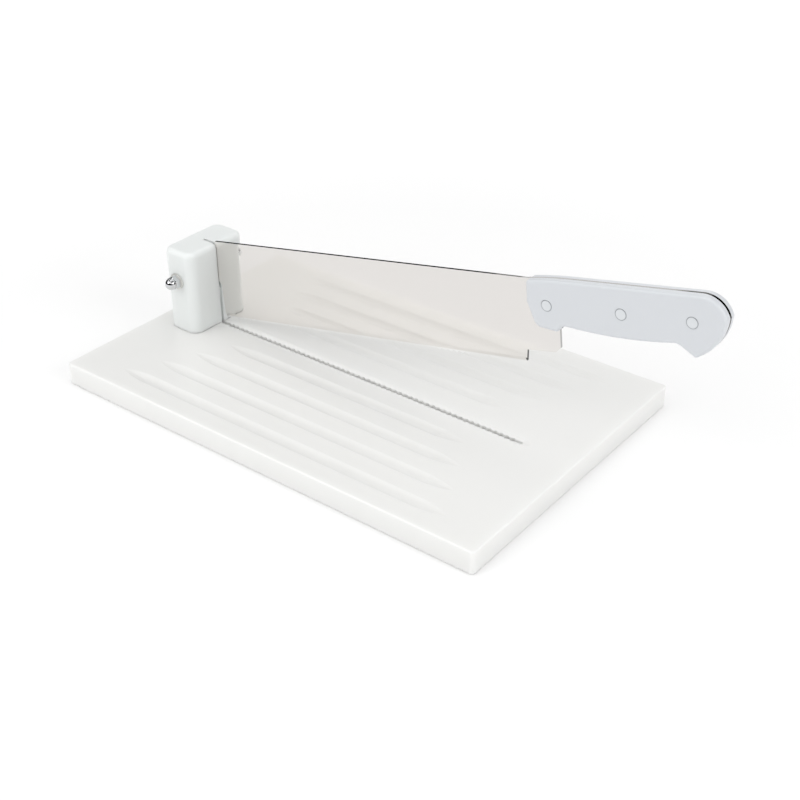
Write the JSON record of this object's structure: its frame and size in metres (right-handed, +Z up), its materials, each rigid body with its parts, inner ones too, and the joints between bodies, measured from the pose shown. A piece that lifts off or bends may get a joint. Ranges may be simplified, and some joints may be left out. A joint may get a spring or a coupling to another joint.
{
  "type": "bread board with knife",
  "caption": "White bread board with crumb grooves, a slotted pivot post and a long serrated knife hinged on a cross bolt, with a riveted full-tang handle.",
  "frame": {"origin": "centre of the board's underside", "axes": "+X along the board away from the post, +Y to the back, +Z up"},
  "size_m": [0.4732, 0.25, 0.1722],
  "materials": {
    "board_plastic": "white moulded board with a fine satin surface",
    "post_plastic": "white satin block",
    "handle_plastic": "pale grey-white, soft gloss",
    "blade_steel": "finely ground, near mirror",
    "rivet_metal": "flush rivet heads, fine satin",
    "chrome_nut": "bright chrome",
    "zinc_steel": "bright zinc plate"
  },
  "bodies": {
    "base": {"cutting_board": "board_plastic", "pivot_post": "post_plastic", "post_screw_front_left": "zinc_steel", "post_screw_front_right": "zinc_steel", "post_screw_back_left": "zinc_steel", "post_screw_back_right": "zinc_steel", "pivot_bolt": "zinc_steel", "pivot_cap_nut": "chrome_nut", "front_washer": "chrome_nut", "back_washer": "zinc_steel", "blade_shim_front": "zinc_steel", "blade_shim_back": "zinc_steel"},
    "knife": {"blade": "blade_steel", "handle_scale_front": "handle_plastic", "handle_scale_back": "handle_plastic", "rivet_front_tube": "rivet_metal", "rivet_front_pin": "rivet_metal", "rivet_middle_tube": "rivet_metal", "rivet_middle_pin": "rivet_metal", "rivet_rear_tube": "rivet_metal", "rivet_rear_pin": "rivet_metal"}
  },
  "joints": [
    {"name": "knife_pivot", "type": "hinge", "parent": "base", "child": "knife", "pos_m": [-0.1579, -0.004, 0.0612], "axis": [0, -1, 0], "range_deg": [-14, 30]}
  ]
}
